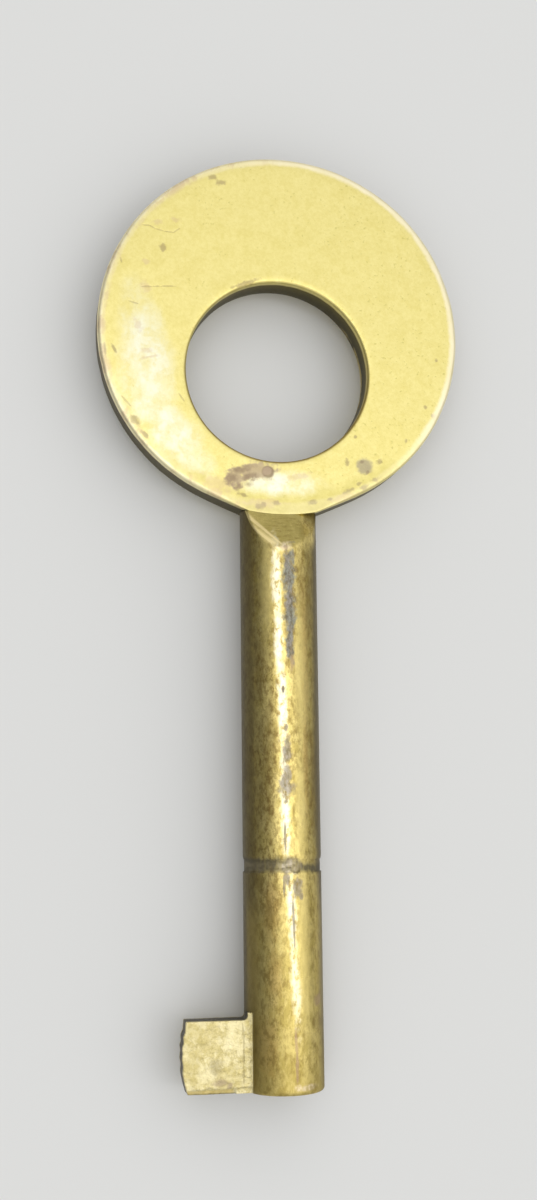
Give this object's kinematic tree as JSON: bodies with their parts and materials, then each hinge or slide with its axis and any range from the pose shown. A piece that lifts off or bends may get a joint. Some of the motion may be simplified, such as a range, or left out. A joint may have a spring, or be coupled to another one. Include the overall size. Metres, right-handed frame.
{
  "type": "key",
  "caption": "Brass pipe key with a flat round bow and off-centre hole, a plain round stem with a solder ring, and a plain rectangular bit at its hollow end.",
  "frame": {"origin": "centre of the barrel's mouth, on the common axis of the bore and the stem", "axes": "+Y along the stem towards the bow, +Z out of the front face of the flat bow, and the bit stands out towards -X"},
  "size_m": [0.0338, 0.085, 0.007],
  "materials": {
    "bow_brass": "smooth yellow brass, polished by handling, with small dark specks, a brown stain and fine scratches",
    "stem_brass": "tarnished brass, mottled along its length, with grey patches along the top",
    "solder": "dull dark grey solder",
    "bit_brass": "pale brass, rough and lightly hammered, with worn edges"
  },
  "bodies": {
    "root": {"bow": "bow_brass", "stem": "stem_brass", "solder_ring": "solder", "barrel": "stem_brass", "bit": "bit_brass"}
  },
  "joints": []
}
